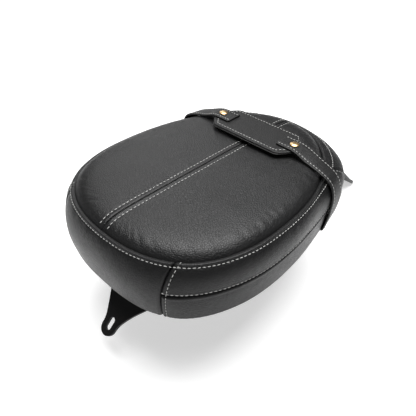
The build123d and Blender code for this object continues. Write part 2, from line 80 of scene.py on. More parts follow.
# ------------------------------------------------------------------ shader node groups
def group(name, inputs, outputs):
    """An empty shader group with named sockets."""
    tree = bpy.data.node_groups.new(name, "ShaderNodeTree")
    for label, kind, value in inputs:
        socket = tree.interface.new_socket(label, in_out="INPUT", socket_type="NodeSocket" + kind)
        socket.default_value = value
    for label, kind in outputs:
        tree.interface.new_socket(label, in_out="OUTPUT", socket_type="NodeSocket" + kind)
    return tree, tree.nodes.new("NodeGroupInput"), tree.nodes.new("NodeGroupOutput")


def add_node(tree, kind, **values):
    """A node with some of its settings and inputs filled in."""
    node = tree.nodes.new(kind)
    for key, value in values.items():
        if hasattr(node, key):
            setattr(node, key, value)
        else:
            node.inputs[key.replace("_", " ")].default_value = value
    return node


def maths(tree, how, a, b=None, clamp=False):
    """A Math node; a and b are numbers or sockets."""
    node = tree.nodes.new("ShaderNodeMath")
    node.operation = how
    node.use_clamp = clamp
    for i, value in enumerate((a, b)):
        if value is None:
            continue
        if isinstance(value, (int, float)):
            node.inputs[i].default_value = value
        else:
            tree.links.new(value, node.inputs[i])
    return node.outputs[0]


def noise_at(tree, vector, scale, detail=2.0, rough=0.5):
    """Noise at a place; scale is a number or a socket."""
    node = add_node(tree, "ShaderNodeTexNoise", Detail=detail, Roughness=rough)
    if isinstance(scale, (int, float)):
        node.inputs["Scale"].default_value = scale
    else:
        tree.links.new(scale, node.inputs["Scale"])
    tree.links.new(vector, node.inputs["Vector"])
    return node.outputs[0]


def make_grain():
    """Pebbled hide: rounded cells with creases between, broken up by pores and soft wrinkles."""
    tree, g_in, g_out = group(
        "hide_grain",
        [("Cells per metre", "Float", 620.0), ("Wrinkle", "Float", 0.5)],
        [("Height", "Float"), ("Crease", "Float"), ("Tone", "Float")])
    place = tree.nodes.new("ShaderNodeTexCoord").outputs["Object"]
    warp = add_node(tree, "ShaderNodeTexNoise", Scale=260.0, Detail=2.0)
    tree.links.new(place, warp.inputs["Vector"])
    mix = tree.nodes.new("ShaderNodeMix")
    mix.data_type = "VECTOR"
    uneven = 0.0016
    mix.inputs["Factor"].default_value = uneven
    tree.links.new(place, mix.inputs["A"])
    tree.links.new(warp.outputs["Color"], mix.inputs["B"])
    cells = add_node(tree, "ShaderNodeTexVoronoi", feature="DISTANCE_TO_EDGE")
    tree.links.new(mix.outputs["Result"], cells.inputs["Vector"])
    tree.links.new(g_in.outputs["Cells per metre"], cells.inputs["Scale"])
    crease = maths(tree, "MULTIPLY", cells.outputs["Distance"], 4.5, clamp=True)
    pores = noise_at(tree, place, maths(tree, "MULTIPLY", g_in.outputs["Cells per metre"], 2.6), 3.0)
    folds = noise_at(tree, place, 55.0, 4.0, 0.62)
    low = maths(tree, "MULTIPLY", folds, maths(tree, "MULTIPLY", g_in.outputs["Wrinkle"], 3.0))
    height = maths(tree, "ADD", maths(tree, "MULTIPLY", crease, 0.7),
                   maths(tree, "ADD", maths(tree, "MULTIPLY", pores, 0.45), low))
    tree.links.new(height, g_out.inputs["Height"])
    tree.links.new(maths(tree, "SUBTRACT", 1.0, crease), g_out.inputs["Crease"])
    tree.links.new(noise_at(tree, place, 14.0, 3.0, 0.6), g_out.inputs["Tone"])
    return tree


def make_wear():
    """Rubbed spots and settled dust, as two masks."""
    tree, g_in, g_out = group(
        "wear_and_dust",
        [("Patch size", "Float", 22.0), ("Rub", "Float", 0.4), ("Dust", "Float", 0.2)],
        [("Rubbed", "Float"), ("Dusty", "Float")])
    place = tree.nodes.new("ShaderNodeTexCoord").outputs["Object"]
    patches = noise_at(tree, place, g_in.outputs["Patch size"], 5.0, 0.65)
    fine = noise_at(tree, place, 900.0, 2.0, 0.7)
    rub = maths(tree, "SUBTRACT", maths(tree, "ADD", patches, maths(tree, "MULTIPLY", fine, 0.25)), 0.52,
                clamp=True)
    tree.links.new(maths(tree, "MULTIPLY", maths(tree, "MULTIPLY", rub, 2.2), g_in.outputs["Rub"],
                         clamp=True), g_out.inputs["Rubbed"])
    up = tree.nodes.new("ShaderNodeSeparateXYZ")
    tree.links.new(tree.nodes.new("ShaderNodeNewGeometry").outputs["Normal"], up.inputs[0])
    settle = maths(tree, "MULTIPLY", maths(tree, "MAXIMUM", up.outputs["Z"], 0.0), fine)
    tree.links.new(maths(tree, "MULTIPLY", settle, g_in.outputs["Dust"], clamp=True),
                   g_out.inputs["Dusty"])
    return tree


hide_grain = make_grain()
wear_and_dust = make_wear()
leather_dust = (0.35, 0.34, 0.32)
hard_dust = (0.42, 0.4, 0.37)


def use_group(tree, which, **values):
    """One of the groups above as a node, some of its inputs filled in."""
    node = tree.nodes.new("ShaderNodeGroup")
    node.node_tree = which
    for key, value in values.items():
        node.inputs[key.replace("_", " ")].default_value = value
    return node


def mix_colour(tree, amount, a, b):
    """Colour a turning to b; a and b are colours or sockets."""
    node = tree.nodes.new("ShaderNodeMix")
    node.data_type = "RGBA"
    tree.links.new(amount, node.inputs["Factor"])
    for label, value in (("A", a), ("B", b)):
        socket = [s for s in node.inputs if s.name == label and s.type == "RGBA"][0]
        if isinstance(value, tuple):
            socket.default_value = (*value, 1.0)
        else:
            tree.links.new(value, socket)
    return [s for s in node.outputs if s.type == "RGBA"][0]


def new_material(name):
    material = bpy.data.materials.new(name)
    material.use_nodes = True
    tree = material.node_tree
    return material, tree, tree.nodes["Principled BSDF"]


def bump(tree, shader, height, distance, strength=1.0):
    node = add_node(tree, "ShaderNodeBump", Distance=distance, Strength=strength)
    tree.links.new(height, node.inputs["Height"])
    tree.links.new(node.outputs[0], shader.inputs["Normal"])


def leather(name, dark, light, rough, cells, wrinkle, depth, rub, shine):
    """Dyed hide: cloudy colour, painted shade darkening the grain's creases, spots rubbed smooth and a
    trace of dust.
    """
    material, tree, shader = new_material(name)
    grain = use_group(tree, hide_grain, Cells_per_metre=cells, Wrinkle=wrinkle)
    worn = use_group(tree, wear_and_dust, Patch_size=26.0, Rub=rub, Dust=0.03)
    colour = mix_colour(tree, grain.outputs["Tone"], dark, light)
    # Painted shade: the creases between the grain's cells are darkened in colour, as shade would fall in
    # them.
    deep = tuple(c * 0.45 for c in dark)
    colour = mix_colour(tree, maths(tree, "MULTIPLY", grain.outputs["Crease"], 0.6), colour, deep)
    colour = mix_colour(tree, maths(tree, "MULTIPLY", worn.outputs["Dusty"], 0.5), colour, leather_dust)
    tree.links.new(colour, shader.inputs["Base Color"])
    gloss = maths(tree, "SUBTRACT", rough, maths(tree, "MULTIPLY", worn.outputs["Rubbed"], 0.16))
    gloss = maths(tree, "ADD", gloss, maths(tree, "MULTIPLY", grain.outputs["Crease"], 0.14), clamp=True)
    tree.links.new(gloss, shader.inputs["Roughness"])
    shader.inputs["Specular IOR Level"].default_value = shine
    bump(tree, shader, grain.outputs["Height"], depth)
    return material


def plain(name, colour, rough, metal=0.0, patch=30.0, rub=0.3, dust=0.2, grain=0.00004, scale=900.0,
          worn_colour=None, shine=0.5):
    """Metal, plastic, rubber and thread: a base colour with wear, dust and a fine surface."""
    material, tree, shader = new_material(name)
    worn = use_group(tree, wear_and_dust, Patch_size=patch, Rub=rub, Dust=dust)
    bright = worn_colour or tuple(min(1.0, c * 1.5 + 0.01) for c in colour)
    made = mix_colour(tree, worn.outputs["Rubbed"], colour, bright)
    made = mix_colour(tree, worn.outputs["Dusty"], made, hard_dust)
    tree.links.new(made, shader.inputs["Base Color"])
    gloss = maths(tree, "ADD", rough, maths(tree, "MULTIPLY", worn.outputs["Dusty"], 0.3), clamp=True)
    gloss = maths(tree, "SUBTRACT", gloss, maths(tree, "MULTIPLY", worn.outputs["Rubbed"], 0.12),
                  clamp=True)
    tree.links.new(gloss, shader.inputs["Roughness"])
    shader.inputs["Metallic"].default_value = metal
    shader.inputs["Specular IOR Level"].default_value = shine
    place = tree.nodes.new("ShaderNodeTexCoord").outputs["Object"]
    bump(tree, shader, noise_at(tree, place, scale, 3.0, 0.6), grain)
    return material


pad_leather = leather("pad_leather", dark=(0.0036, 0.0037, 0.004), light=(0.0058, 0.006, 0.0065),
                      rough=0.36, cells=460.0, wrinkle=0.5, depth=0.0002, rub=0.5, shine=0.34)
side_leather = leather("side_leather", dark=(0.0034, 0.0035, 0.0038), light=(0.0055, 0.0057, 0.0062),
                       rough=0.36, cells=460.0, wrinkle=0.55, depth=0.0002, rub=0.5, shine=0.27)
strap_leather = leather("strap_leather", dark=(0.0055, 0.0055, 0.0057), light=(0.0085, 0.0085, 0.0088),
                        rough=0.42, cells=420.0, wrinkle=0.35, depth=0.0002, rub=0.7, shine=0.3)
thread = plain("waxed_thread", (0.40, 0.40, 0.39), 0.6, patch=420.0, rub=0.6, dust=0.1, grain=0.0001,
               scale=3800.0)
brass = plain("aged_brass", (0.74, 0.50, 0.25), 0.3, 1.0, patch=300.0, rub=0.7, dust=0.05, grain=0.00003,
              worn_colour=(0.86, 0.64, 0.36))
black_steel = plain("black_powder_coat", (0.003, 0.003, 0.0032), 0.4, 0.0, patch=60.0, rub=0.3, dust=0.02,
                    grain=0.00006, scale=1500.0, shine=0.2)
pan_plastic = plain("moulded_plastic", (0.02, 0.02, 0.022), 0.55, patch=20.0, rub=0.6, dust=0.35,
                    grain=0.00012, scale=1100.0)
zinc = plain("zinc_plate", (0.55, 0.55, 0.53), 0.32, 1.0, patch=240.0, rub=0.8, dust=0.1)
rubber = plain("black_rubber", (0.017, 0.017, 0.017), 0.7, patch=80.0, rub=0.4, dust=0.4, grain=0.00008)

# ------------------------------------------------------------------ the pad's surface
# Right half outlines, rear middle to front middle, at four levels from the rim to the hem.
rim_line = [(0, -144.5), (50, -138.5), (94, -112.5), (116.5, -67.5), (121.2, -22),
            (118.5, 22), (108.5, 63), (87.5, 104), (51, 143.5), (0, 159)]
shoulder_line = [(0, -150.5), (51, -144.5), (97, -118.5), (122.5, -70.5), (127.8, -23),
                 (124.8, 22), (116.5, 66), (103.5, 113), (61, 156.5), (0, 171)]
waist_line = [(0, -156), (51.5, -152), (95, -129.5), (121.5, -85), (130.6, -35),
              (128.2, 17), (120, 68), (106.5, 118), (66, 160), (0, 177)]
hem_line = [(0, -152.5), (50, -148.5), (92, -130), (117.5, -90), (127, -42),
            (125.5, 10), (117, 62), (101, 113), (62, 153.5), (0, 172)]
level_z = np.array([0.0, -8.0, -33.0, -65.0])
skirt_run = 67.5
level_t = np.array([0.0, 10.0, 35.5, skirt_run]) / skirt_run
half_count = len(rim_line) - 1
loop_count = 2 * half_count


def round_loop(half):
    """A smooth closed line through a half outline and its mirror image, as a function of place."""
    points = np.array(half + [(-x, y) for x, y in half[-2:0:-1]], float)
    count = len(points)
    matrix = 4 * np.eye(count) + np.roll(np.eye(count), 1, 0) + np.roll(np.eye(count), -1, 0)
    curve = np.linalg.solve(matrix, 6 * (np.roll(points, 1, 0) - 2 * points + np.roll(points, -1, 0)))

    def at(q):
        q = np.asarray(q, float)
        i = np.floor(q).astype(int)
        t = (q - i)[..., None]
        i = i % count
        j = (i + 1) % count
        return ((1 - t) * points[i] + t * points[j]
                + ((1 - t) ** 3 - (1 - t)) / 6 * curve[i] + (t ** 3 - t) / 6 * curve[j])
    return at


loops = [round_loop(line) for line in (rim_line, shoulder_line, waist_line, hem_line)]


def level_weights(t):
    """How much of each level makes the skirt at depth t, as a natural cubic through the four."""
    steps = np.diff(level_t)
    matrix = np.array([[2 * (steps[0] + steps[1]), steps[1]], [steps[1], 2 * (steps[1] + steps[2])]])
    t = np.asarray(t, float)
    k = np.clip(np.searchsorted(level_t, t, side="right") - 1, 0, 2)
    out = []
    for n in range(4):
        value = np.zeros(4)
        value[n] = 1
        slope = np.diff(value) / steps
        second = np.zeros(4)
        second[1:3] = np.linalg.solve(matrix, 6 * np.diff(slope))
        h = steps[k]
        b = (t - level_t[k]) / h
        a = 1 - b
        out.append(a * value[k] + b * value[k + 1]
                   + ((a ** 3 - a) * second[k] + (b ** 3 - b) * second[k + 1]) * h * h / 6)
    return out


def skirt(q, t):
    """A point of the skirt in the pad's coordinates; q runs round it and t down it."""
    q, t = np.broadcast_arrays(np.asarray(q, float), np.asarray(t, float))
    weights = level_weights(t)
    flat = sum(w[..., None] * loop(q) for w, loop in zip(weights, loops))
    depth = sum(w * z for w, z in zip(weights, level_z))
    return np.concatenate([flat, depth[..., None]], -1)


# The rear corner seam leans in by rear_lean over the pad's height; the front one moves out by
# front_splay for each millimetre forward.
crown_z, pad_height = 9.6, 76.6
rear_corner_x, rear_lean = 84, 6
front_corner_x, front_corner_y, front_splay = 90, 92, 0.37


def rear_seam(t):
    """Where the rear corner seam crosses depth t, on the right."""
    q = np.linspace(0.3, 4, 400)
    found = []
    for depth in np.atleast_1d(t):
        p = skirt(q, depth)
        seam_x = rear_corner_x - rear_lean * (crown_z - p[:, 2]) / pad_height
        found.append(np.interp(0, p[:, 0] - seam_x, q))
    return np.array(found)


def front_seam(t):
    """Where the front corner seam crosses depth t, on the right."""
    q = np.linspace(5.5, 8.8, 400)
    found = []
    for depth in np.atleast_1d(t):
        p = skirt(q, depth)
        past = p[:, 0] - front_corner_x - front_splay * (p[:, 1] - front_corner_y)
        found.append(np.interp(0, -past, q))
    return np.array(found)


def on_left(seam):
    """A right seam's mirror image."""
    return lambda t: loop_count - seam(t)


# The fender's axle in the pad's coordinates, the radius outside the brackets that lie on the fender,
# and the tunnel under the pad, which falls away beside them.
axle_y, axle_z = 70, -374
bracket_radius, bracket_side = 328.8, 35
tunnel_fall, tunnel_width, tunnel_depth = 30, 37, 60
tunnel_gap = 0.4


def saddle_level(x, y):
    """Lowest level that leaves the fender and its brackets free."""
    fall = np.clip((np.abs(x) - bracket_side) * tunnel_fall / tunnel_width, 0, tunnel_depth)
    return axle_z + np.sqrt((bracket_radius - fall) ** 2 - (y - axle_y) ** 2) + tunnel_gap


def soft_noise(points, size, seed):
    """Smooth noise from -1 to 1 at each point; size is its grain in millimetres."""
    flat = points.reshape(-1, 3)
    out = np.array([noise.noise(Vector((p[0] / size[0] + seed, p[1] / size[1], p[2] / size[2])))
                    for p in flat])
    return out.reshape(points.shape[:-1])


def seam_fold(d, deep=1.7, bead=0.35):
    """Leather turning down into a seam at distance d, with the folded edge under it."""
    return -deep * np.exp(-(d / 1.25) ** 1.4) + bead * np.exp(-((d - 3.0) / 1.7) ** 2)


def rim_lip(d):
    """The rolled lip below the top panel: a deep groove, then a round bead before the stitches."""
    return -3.4 * np.exp(-(d / 1.3) ** 1.5) + 1.1 * np.exp(-((d - 3.0) / 1.5) ** 2)


def stitch_dip(d, at, deep=0.38):
    """The groove that a row of stitches pulls into the leather."""
    return -deep * np.exp(-((d - at) / 0.9) ** 2)


def run_lengths(grid, axis):
    """Distance along the grid from its first line."""
    step = np.linalg.norm(np.diff(grid, axis=axis), axis=-1)
    total = np.cumsum(step, axis=axis)
    margins = [(0, 0), (0, 0)]
    margins[axis] = (1, 0)
    return np.pad(total, margins)


def grid_normals(grid):
    """Normals of a grid of points, pointing away from the middle of the pad."""
    normal = np.cross(np.gradient(grid, axis=1), np.gradient(grid, axis=0))
    normal /= np.linalg.norm(normal, axis=-1, keepdims=True) + 1e-12
    outward = grid * np.array([1, 1, 0.0]) - np.array([0, 8, 0])
    if (normal * outward).sum() < 0:
        normal = -normal
    return normal


def to_frame(points):
    """Millimetres in the pad's coordinates to metres in the frame."""
    return (np.asarray(points, float) + np.array([0, pad_y, rim_z])) * MM


def mesh_object(name, vertices, faces, materials, smooth=True):
    mesh = bpy.data.meshes.new(name)
    mesh.from_pydata([tuple(v) for v in vertices], [], [tuple(f) for f in faces])
    mesh.validate()
    for material in materials:
        mesh.materials.append(material)
    mesh.polygons.foreach_set("use_smooth", [smooth] * len(mesh.polygons))
    mesh.update()
    made = bpy.data.objects.new(name, mesh)
    scene.collection.objects.link(made)
    return made


def sheet_object(name, grid, normal, material, thickness=1.5):
    """A grid of points as leather of real thickness, its outside where the grid lies."""
    rows, columns = grid.shape[:2]
    index = np.arange(rows * columns).reshape(rows, columns)
    quads = np.stack([index[:-1, :-1], index[:-1, 1:], index[1:, 1:], index[1:, :-1]], -1).reshape(-1, 4)
    p = grid.reshape(-1, 3)
    face = np.cross(p[quads[:, 1]] - p[quads[:, 0]], p[quads[:, 3]] - p[quads[:, 0]])
    if (face * normal.reshape(-1, 3)[quads[:, 0]]).sum() < 0:
        quads = quads[:, ::-1]
    made = mesh_object(name, to_frame(p), quads, [material])
    wall = made.modifiers.new("thickness", "SOLIDIFY")
    wall.thickness = thickness * MM
    wall.offset = -1
    return made


def eased(count, near=0.55):
    """Steps from 0 to 1 that are closer together at both ends."""
    s = np.linspace(0, 1, count)
    return (1 - near) * s + near * (0.5 - 0.5 * np.cos(np.pi * s))


# The hem's edge, turned under the pad: how far in and at what level.
hem_turn = ((0.4, -65.6), (1.4, -66.2), (3.5, -66.4), (8, -66.2), (12.5, -65.8), (14, -65.0))
# Where the hem is raised to clear the tunnel: in front of, within and below these.
tunnel_front, tunnel_side, tunnel_top = 60, 62, -45


def skirt_piece(name, q_low, q_high, t_low, t_high, columns, rows, top=None, bottom=None, left=None,
                right=None, hem=False):
    """One panel of the skirt. top, bottom, left and right say how far from that edge a row of
    stitches runs, if there is one; hem turns the bottom edge under instead of seaming it."""
    t = t_low + (t_high - t_low) * eased(rows)
    lo, hi = q_low(t), q_high(t)
    u = eased(columns, 0.35)
    q = lo[:, None] + (hi - lo)[:, None] * u[None, :]
    base = skirt(q, np.repeat(t[:, None], columns, 1))
    normal = grid_normals(base)
    across = run_lengths(base, 1)
    down = run_lengths(base, 0)
    d_left, d_right = across, across[:, -1:] - across
    d_top, d_bottom = down, down[-1:, :] - down
    lift = np.zeros(across.shape)
    near = np.full(across.shape, 1e3)
    for d, row, used in ((d_left, left, True), (d_right, right, True), (d_top, top, True),
                         (d_bottom, bottom, not hem)):
        if not used:
            continue
        at_rim = d is d_top and t_low == 0
        lift += rim_lip(d) if at_rim else seam_fold(d)
        near = np.minimum(near, d)
        if row:
            lift += stitch_dip(d, row)
    lift += 1.1 * (1 - np.exp(-near / 13.0))
    slack = np.exp(-((near - 9) / 8.0) ** 2)
    lift += 0.26 * slack * soft_noise(base, (7.0, 7.0, 16.0), 3.1)
    lift += 0.4 * soft_noise(base, (38.0, 38.0, 30.0), 7.7) * (1 - np.exp(-near / 10.0))
    grid = base + normal * lift[..., None]
    if hem:
        edge = grid[-1]
        inward = -normal[-1].copy()
        inward[:, 2] = 0
        inward /= np.linalg.norm(inward, axis=1, keepdims=True)
        extra = []
        for inset, z in hem_turn:
            row = edge + inward * inset
            row[:, 2] = z + 0.2 * np.sin(np.arange(columns) * 0.9)
            extra.append(row)
        grid = np.concatenate([grid, np.stack(extra)], 0)
        normal = np.concatenate([normal, np.repeat(normal[-1:], len(extra), 0)], 0)
        normal[-4:] = np.array([0, 0, -1.0])
        free = saddle_level(grid[..., 0], grid[..., 1])
        blocked = grid[..., 1] > tunnel_front
        blocked &= (np.abs(grid[..., 0]) < tunnel_side) & (grid[..., 2] < tunnel_top)
        grid[..., 2] = np.where(blocked, np.maximum(grid[..., 2], free), grid[..., 2])
    return sheet_object(name, grid, normal, side_leather)


cover = []
band_t = level_t[2]
hem_t = 1.0
front_piece = skirt_piece("front_skirt_cover", front_seam, on_left(front_seam), 0.0, hem_t, 230, 74,
                          top=rim_stitch, hem=True)
rear_piece = skirt_piece("rear_skirt_cover", lambda t: -rear_seam(t), rear_seam, 0.0, hem_t, 190, 74,
                         top=rim_stitch, hem=True)
cover.append((front_piece, ["front_skirt"]))
cover.append((rear_piece, ["rear_skirt"]))
for side in ("right", "left"):
    if side == "right":
        low, high = rear_seam, front_seam
    else:
        low, high = on_left(front_seam), on_left(rear_seam)
    band = skirt_piece(f"band_cover_{side}", low, high, 0.0, band_t, 260, 42, top=rim_stitch,
                       bottom=band_stitch, left=corner_stitch, right=corner_stitch)
    panel = skirt_piece(f"panel_cover_{side}", low, high, band_t, hem_t, 260, 40,
                        left=corner_stitch, right=corner_stitch, hem=True)
    cover.append((band, [f"side_band_{side}"]))
    cover.append((panel, [f"side_panel_{side}"]))

# ------------------------------------------------------------------ top panels
rim_fine = loops[0](np.linspace(0, loop_count, 1200, endpoint=False))


def rim_distance(flat, at_once=2000):
    """Distance of each point from the rim seam."""
    out = np.empty(len(flat))
    for i in range(0, len(flat), at_once):
        block = flat[i:i + at_once]
        out[i:i + at_once] = np.sqrt(((block[:, None, :] - rim_fine[None]) ** 2).sum(-1)).min(1)
    return out


def crown_level(flat, d):
    """Height of the top panel: a padded edge, a nearly flat middle and the middle seam's folds."""
    z = -3.6 + 13.6 * (1 - np.exp(-(d / 8.0) ** 0.85))
    x = np.abs(flat[:, 0])
    near = np.exp(-(d / 6.0) ** 2)
    z += (1 - near) * (-1.3 * np.exp(-(x / 0.6) ** 1.6) + 0.4 * np.exp(-((x - 2.4) / 1.3) ** 2)
                       - 0.38 * np.exp(-((x - middle_stitch) / 1.0) ** 2))
    z += 0.35 * (1 - np.exp(-(x / 22) ** 2)) * (1 - near)
    return z


def top_piece(name, sign, columns=300, rows=84, rear_end=-104, front_end=112):
    """Half of the top panel, from the rim to a middle line that stops short of both ends."""
    edge = loops[0](np.linspace(0, half_count, columns))
    middle = np.stack([np.zeros(columns), np.clip(edge[:, 1], rear_end, front_end)], -1)
    r = eased(rows, 0.7)
    flat = edge[None] * (1 - r)[:, None, None] + middle[None] * r[:, None, None]
    flat[..., 0] = np.maximum(flat[..., 0], 0) * sign
    shape = flat.shape[:2]
    pairs = flat.reshape(-1, 2)
    d = rim_distance(pairs)
    z = crown_level(pairs, d)
    points = np.concatenate([pairs, z[:, None]], 1).reshape(*shape, 3)
    d = d.reshape(shape)
    along = np.repeat(run_lengths(np.concatenate([edge, np.zeros((columns, 1))], 1)[None], 1), rows, 0)
    radial = np.stack([along / 6.5, d / 26.0, np.full(shape, sign * 5.0)], -1)
    crease = soft_noise(radial, (1.0, 1.0, 1.0), 11.0)
    points[..., 2] += 0.42 * crease * np.exp(-((d - 10) / 8.0) ** 2)
    points[..., 2] += 0.5 * soft_noise(points, (46.0, 46.0, 40.0), 5.0) * (1 - np.exp(-d / 18.0))
    normal = np.zeros(points.shape)
    normal[..., 2] = 1
    return sheet_object(name, points, normal, pad_leather)


for side, sign, foam in (("right", 1, "top_padding"), ("left", -1, "foam_core")):
    cover.append((top_piece(f"top_cover_{side}", sign), [f"top_panel_{side}", foam]))

# ------------------------------------------------------------------ grab strap
def filleted(points, radii, per_bend=7):
    """A bent line of straight runs and tangent arcs, the same number of points for the same bends."""
    points = [np.array(p, float) for p in points]
    out = [points[0]]
    for a, b, c, radius in zip(points, points[1:], points[2:], radii):
        before = (a - b) / np.linalg.norm(a - b)
        after = (c - b) / np.linalg.norm(c - b)
        angle = math.acos(np.clip(before @ after, -1, 1))
        back = radius / math.tan(angle / 2)
        start, end = b + before * back, b + after * back
        centre = b + (before + after) / np.linalg.norm(before + after) * radius / math.sin(angle / 2)
        s, e = start - centre, end - centre
        turn = math.pi - angle
        for k in range(per_bend + 1):
            w = k / per_bend
            out.append(centre + (s * math.sin((1 - w) * turn) + e * math.sin(w * turn)) / math.sin(turn))
    out.append(points[-1])
    return np.array(out)


def half_width(line, y):
    """Half the pad's width at y, on one of the outlines."""
    p = round_loop(line)(np.linspace(2, half_count, 900))
    return float(np.interp(y, p[:, 1], p[:, 0]))


def strap_line(y, front):
    """Middle of the strap's thickness at its rear edge (front 0) or front edge (front 1)."""
    rim, shoulder = half_width(rim_line, y), half_width(shoulder_line, y)
    waist, hem = half_width(waist_line, y), half_width(hem_line, y)
    top = 19.0
    tail = -67.0
    side = waist + 4.2 + 1.5 * front
    run = [(37.5, top), (65, top), (77 - 2 * front, top - 7.1 + 3.6 * front),
           (rim - 12 + 6 * front, top - 9.6 + 1.6 * front), (shoulder + 1.6, top - 18),
           (side, -17), (side - 1.8 - front, -44), (hem + 2.8, tail), (hem - 32, tail)]
    return filleted(run, [12, 12, 15, 12, 15, 15, 3.5])


def relaxed(line, run, reach=8.5, held_end=9.0, held_tail=55.0):
    """The line with its bends eased over about twice the reach, as thick leather bends. Both ends
    and the tail, which is screwed down, keep their place."""
    spread = np.exp(-((run[:, None] - run[None, :]) / reach) ** 2)
    ends = np.minimum(run, run[-1] - run)
    tight = np.exp(-(ends / held_end) ** 2) + np.exp(-((run[-1] - run) / held_tail) ** 6)
    tight = np.clip(tight, 0, 1)[:, None]
    return tight * line + (1 - tight) * (spread @ line) / spread.sum(1, keepdims=True)


def strap_surface(steps):
    """The strap's rear and front edges, and how far along the strap each of their points is."""
    rear = strap_line(strap_y - strap_half, 0)
    front = strap_line(strap_y + strap_half, 1)
    run = np.concatenate([[0], np.cumsum(np.linalg.norm(np.diff(rear, axis=0), axis=1))])
    s = np.linspace(0, run[-1], steps)
    lines = []
    for line, y in ((rear, strap_y - strap_half), (front, strap_y + strap_half)):
        lines.append(relaxed(np.stack([np.interp(s, run, line[:, 0]), np.full(steps, y),
                                       np.interp(s, run, line[:, 1])], -1), s))
    return lines[0], lines[1], s


def closed_tube(name, rings, materials):
    """A solid from closed rings of points, its ends filled."""
    count, around = rings.shape[:2]
    index = np.arange(count * around).reshape(count, around)
    after = np.roll(index, -1, 1)
    quads = np.stack([index[:-1], after[:-1], after[1:], index[1:]], -1).reshape(-1, 4).tolist()
    ends = [list(index[0]), list(index[-1])[::-1]]
    made = mesh_object(name, to_frame(rings.reshape(-1, 3)), quads + ends, materials)
    bm = bmesh.new()
    bm.from_mesh(made.data)
    bmesh.ops.recalc_face_normals(bm, faces=bm.faces)
    bm.to_mesh(made.data)
    bm.free()
    return made


def strap_piece(name, sign):
    """One side of the grab strap, from under the middle plate to its end under the pad."""
    rear, front, s = strap_surface(strap_steps)
    normal = np.cross(np.gradient((rear + front) / 2, axis=0), front - rear)
    normal /= np.linalg.norm(normal, axis=1, keepdims=True)
    if normal[0, 2] < 0:
        normal = -normal
    half, flat, round_u, round_w = strap_thick / 2, 11.1, 11.75, 0.75
    section = []
    for u in np.linspace(-flat, flat, 17):
        crown = half + 0.12 * (1 - (u / flat) ** 2)
        crown += -0.32 * math.exp(-((abs(u) - (strap_half - strap_stitch)) / 0.7) ** 2)
        section.append((u, crown))
    section += [(round_u, round_w), (strap_half, 0.0), (round_u, -round_w)]
    section += [(u, -half) for u in np.linspace(flat, -flat, 7)]
    section += [(-round_u, -round_w), (-strap_half, 0.0), (-round_u, round_w)]
    rings = []
    for k in range(len(s)):
        ring = []
        end = min(1.0, 0.86 + s[k] / 9)
        for u, w in section:
            share = (u * end + strap_half) / (2 * strap_half)
            ring.append(rear[k] * (1 - share) + front[k] * share + normal[k] * w)
        rings.append(ring)
    rings = np.array(rings)
    rings[..., 2] += 0.18 * soft_noise(rings, (20.0, 14.0, 24.0), 2.0 + sign)
    rings[..., 0] *= sign
    return closed_tube(name, rings, [strap_leather])


strap_steps = 260
strap_pieces = [strap_piece("strap_right", 1), strap_piece("strap_left", -1)]


def plate_piece(name, grow, top, thick):
    """One layer of the strap's middle plate, its edges eased and a groove pressed for the stitches."""
    flat, end, wide = plate_flat, plate_end, plate_wide + grow
    corners = [(flat, -wide), (end, -strap_half), (end, strap_half), (flat, wide),
               (-flat, wide), (-end, strap_half), (-end, -strap_half), (-flat, -wide)]
    outline = []
    cut = 5.5
    for i, corner in enumerate(corners):
        a = np.array(corners[i - 1], float)
        b = np.array(corner, float)
        c = np.array(corners[(i + 1) % len(corners)], float)
        p = b + (a - b) / np.linalg.norm(a - b) * cut
        r = b + (c - b) / np.linalg.norm(c - b) * cut
        for w in np.linspace(0, 1, 7):
            outline.append((1 - w) ** 2 * p + 2 * w * (1 - w) * b + w * w * r)
    outline = np.array(outline)
    around = len(outline)
    centre = outline.mean(0)
    rings = []
    for inset, z in ((0.7, top - thick), (0.1, top - thick + 0.35), (0, top - thick / 2), (0.1, top - 0.35),
                     (0.7, top), (3.0, top + 0.05), (plate_stitch, top - 0.28), (5.8, top + 0.08),
                     (12, top + 0.12)):
        out = outline - centre
        length = np.linalg.norm(out, axis=1, keepdims=True)
        ring = centre + out * (1 - inset / length)
        rings.append(np.concatenate([ring + np.array([0, strap_y]), np.full((around, 1), z)], 1))
    return closed_tube(name, np.array(rings), [strap_leather])


plate = plate_piece("strap_plate_cover", 0.0, plate_top, plate_thick)
backing = plate_piece("strap_backing_cover", 1.5, backing_top, plate_thick)


def rivet_caps():
    """Turned brass caps with a low dome, each on its shank."""
    shank = [(1.95, -4.2), (1.95, 0.0)]
    dome = [(5.5, 0.0), (5.6, 0.35), (5.45, 0.75), (4.9, 1.15), (3.9, 1.6), (2.4, 1.95), (0.9, 2.1)]
    rings = len(shank) + len(dome)
    around = 40
    vertices, faces = [], []
    for sign in (-1, 1):
        first = len(vertices)
        for radius, z in shank + dome:
            for k in range(around):
                a = 2 * math.pi * k / around
                vertices.append((sign * rivet_x + radius * math.cos(a), strap_y + radius * math.sin(a),
                                 cap_seat + z))
        for i in range(rings - 1):
            for k in range(around):
                n = (k + 1) % around
                faces.append((first + i * around + k, first + i * around + n,
                              first + (i + 1) * around + n, first + (i + 1) * around + k))
        faces.append([first + k for k in range(around)][::-1])
        faces.append([first + (rings - 1) * around + k for k in range(around)])
    return mesh_object("rivet_caps", to_frame(vertices), faces, [brass])


caps = rivet_caps()

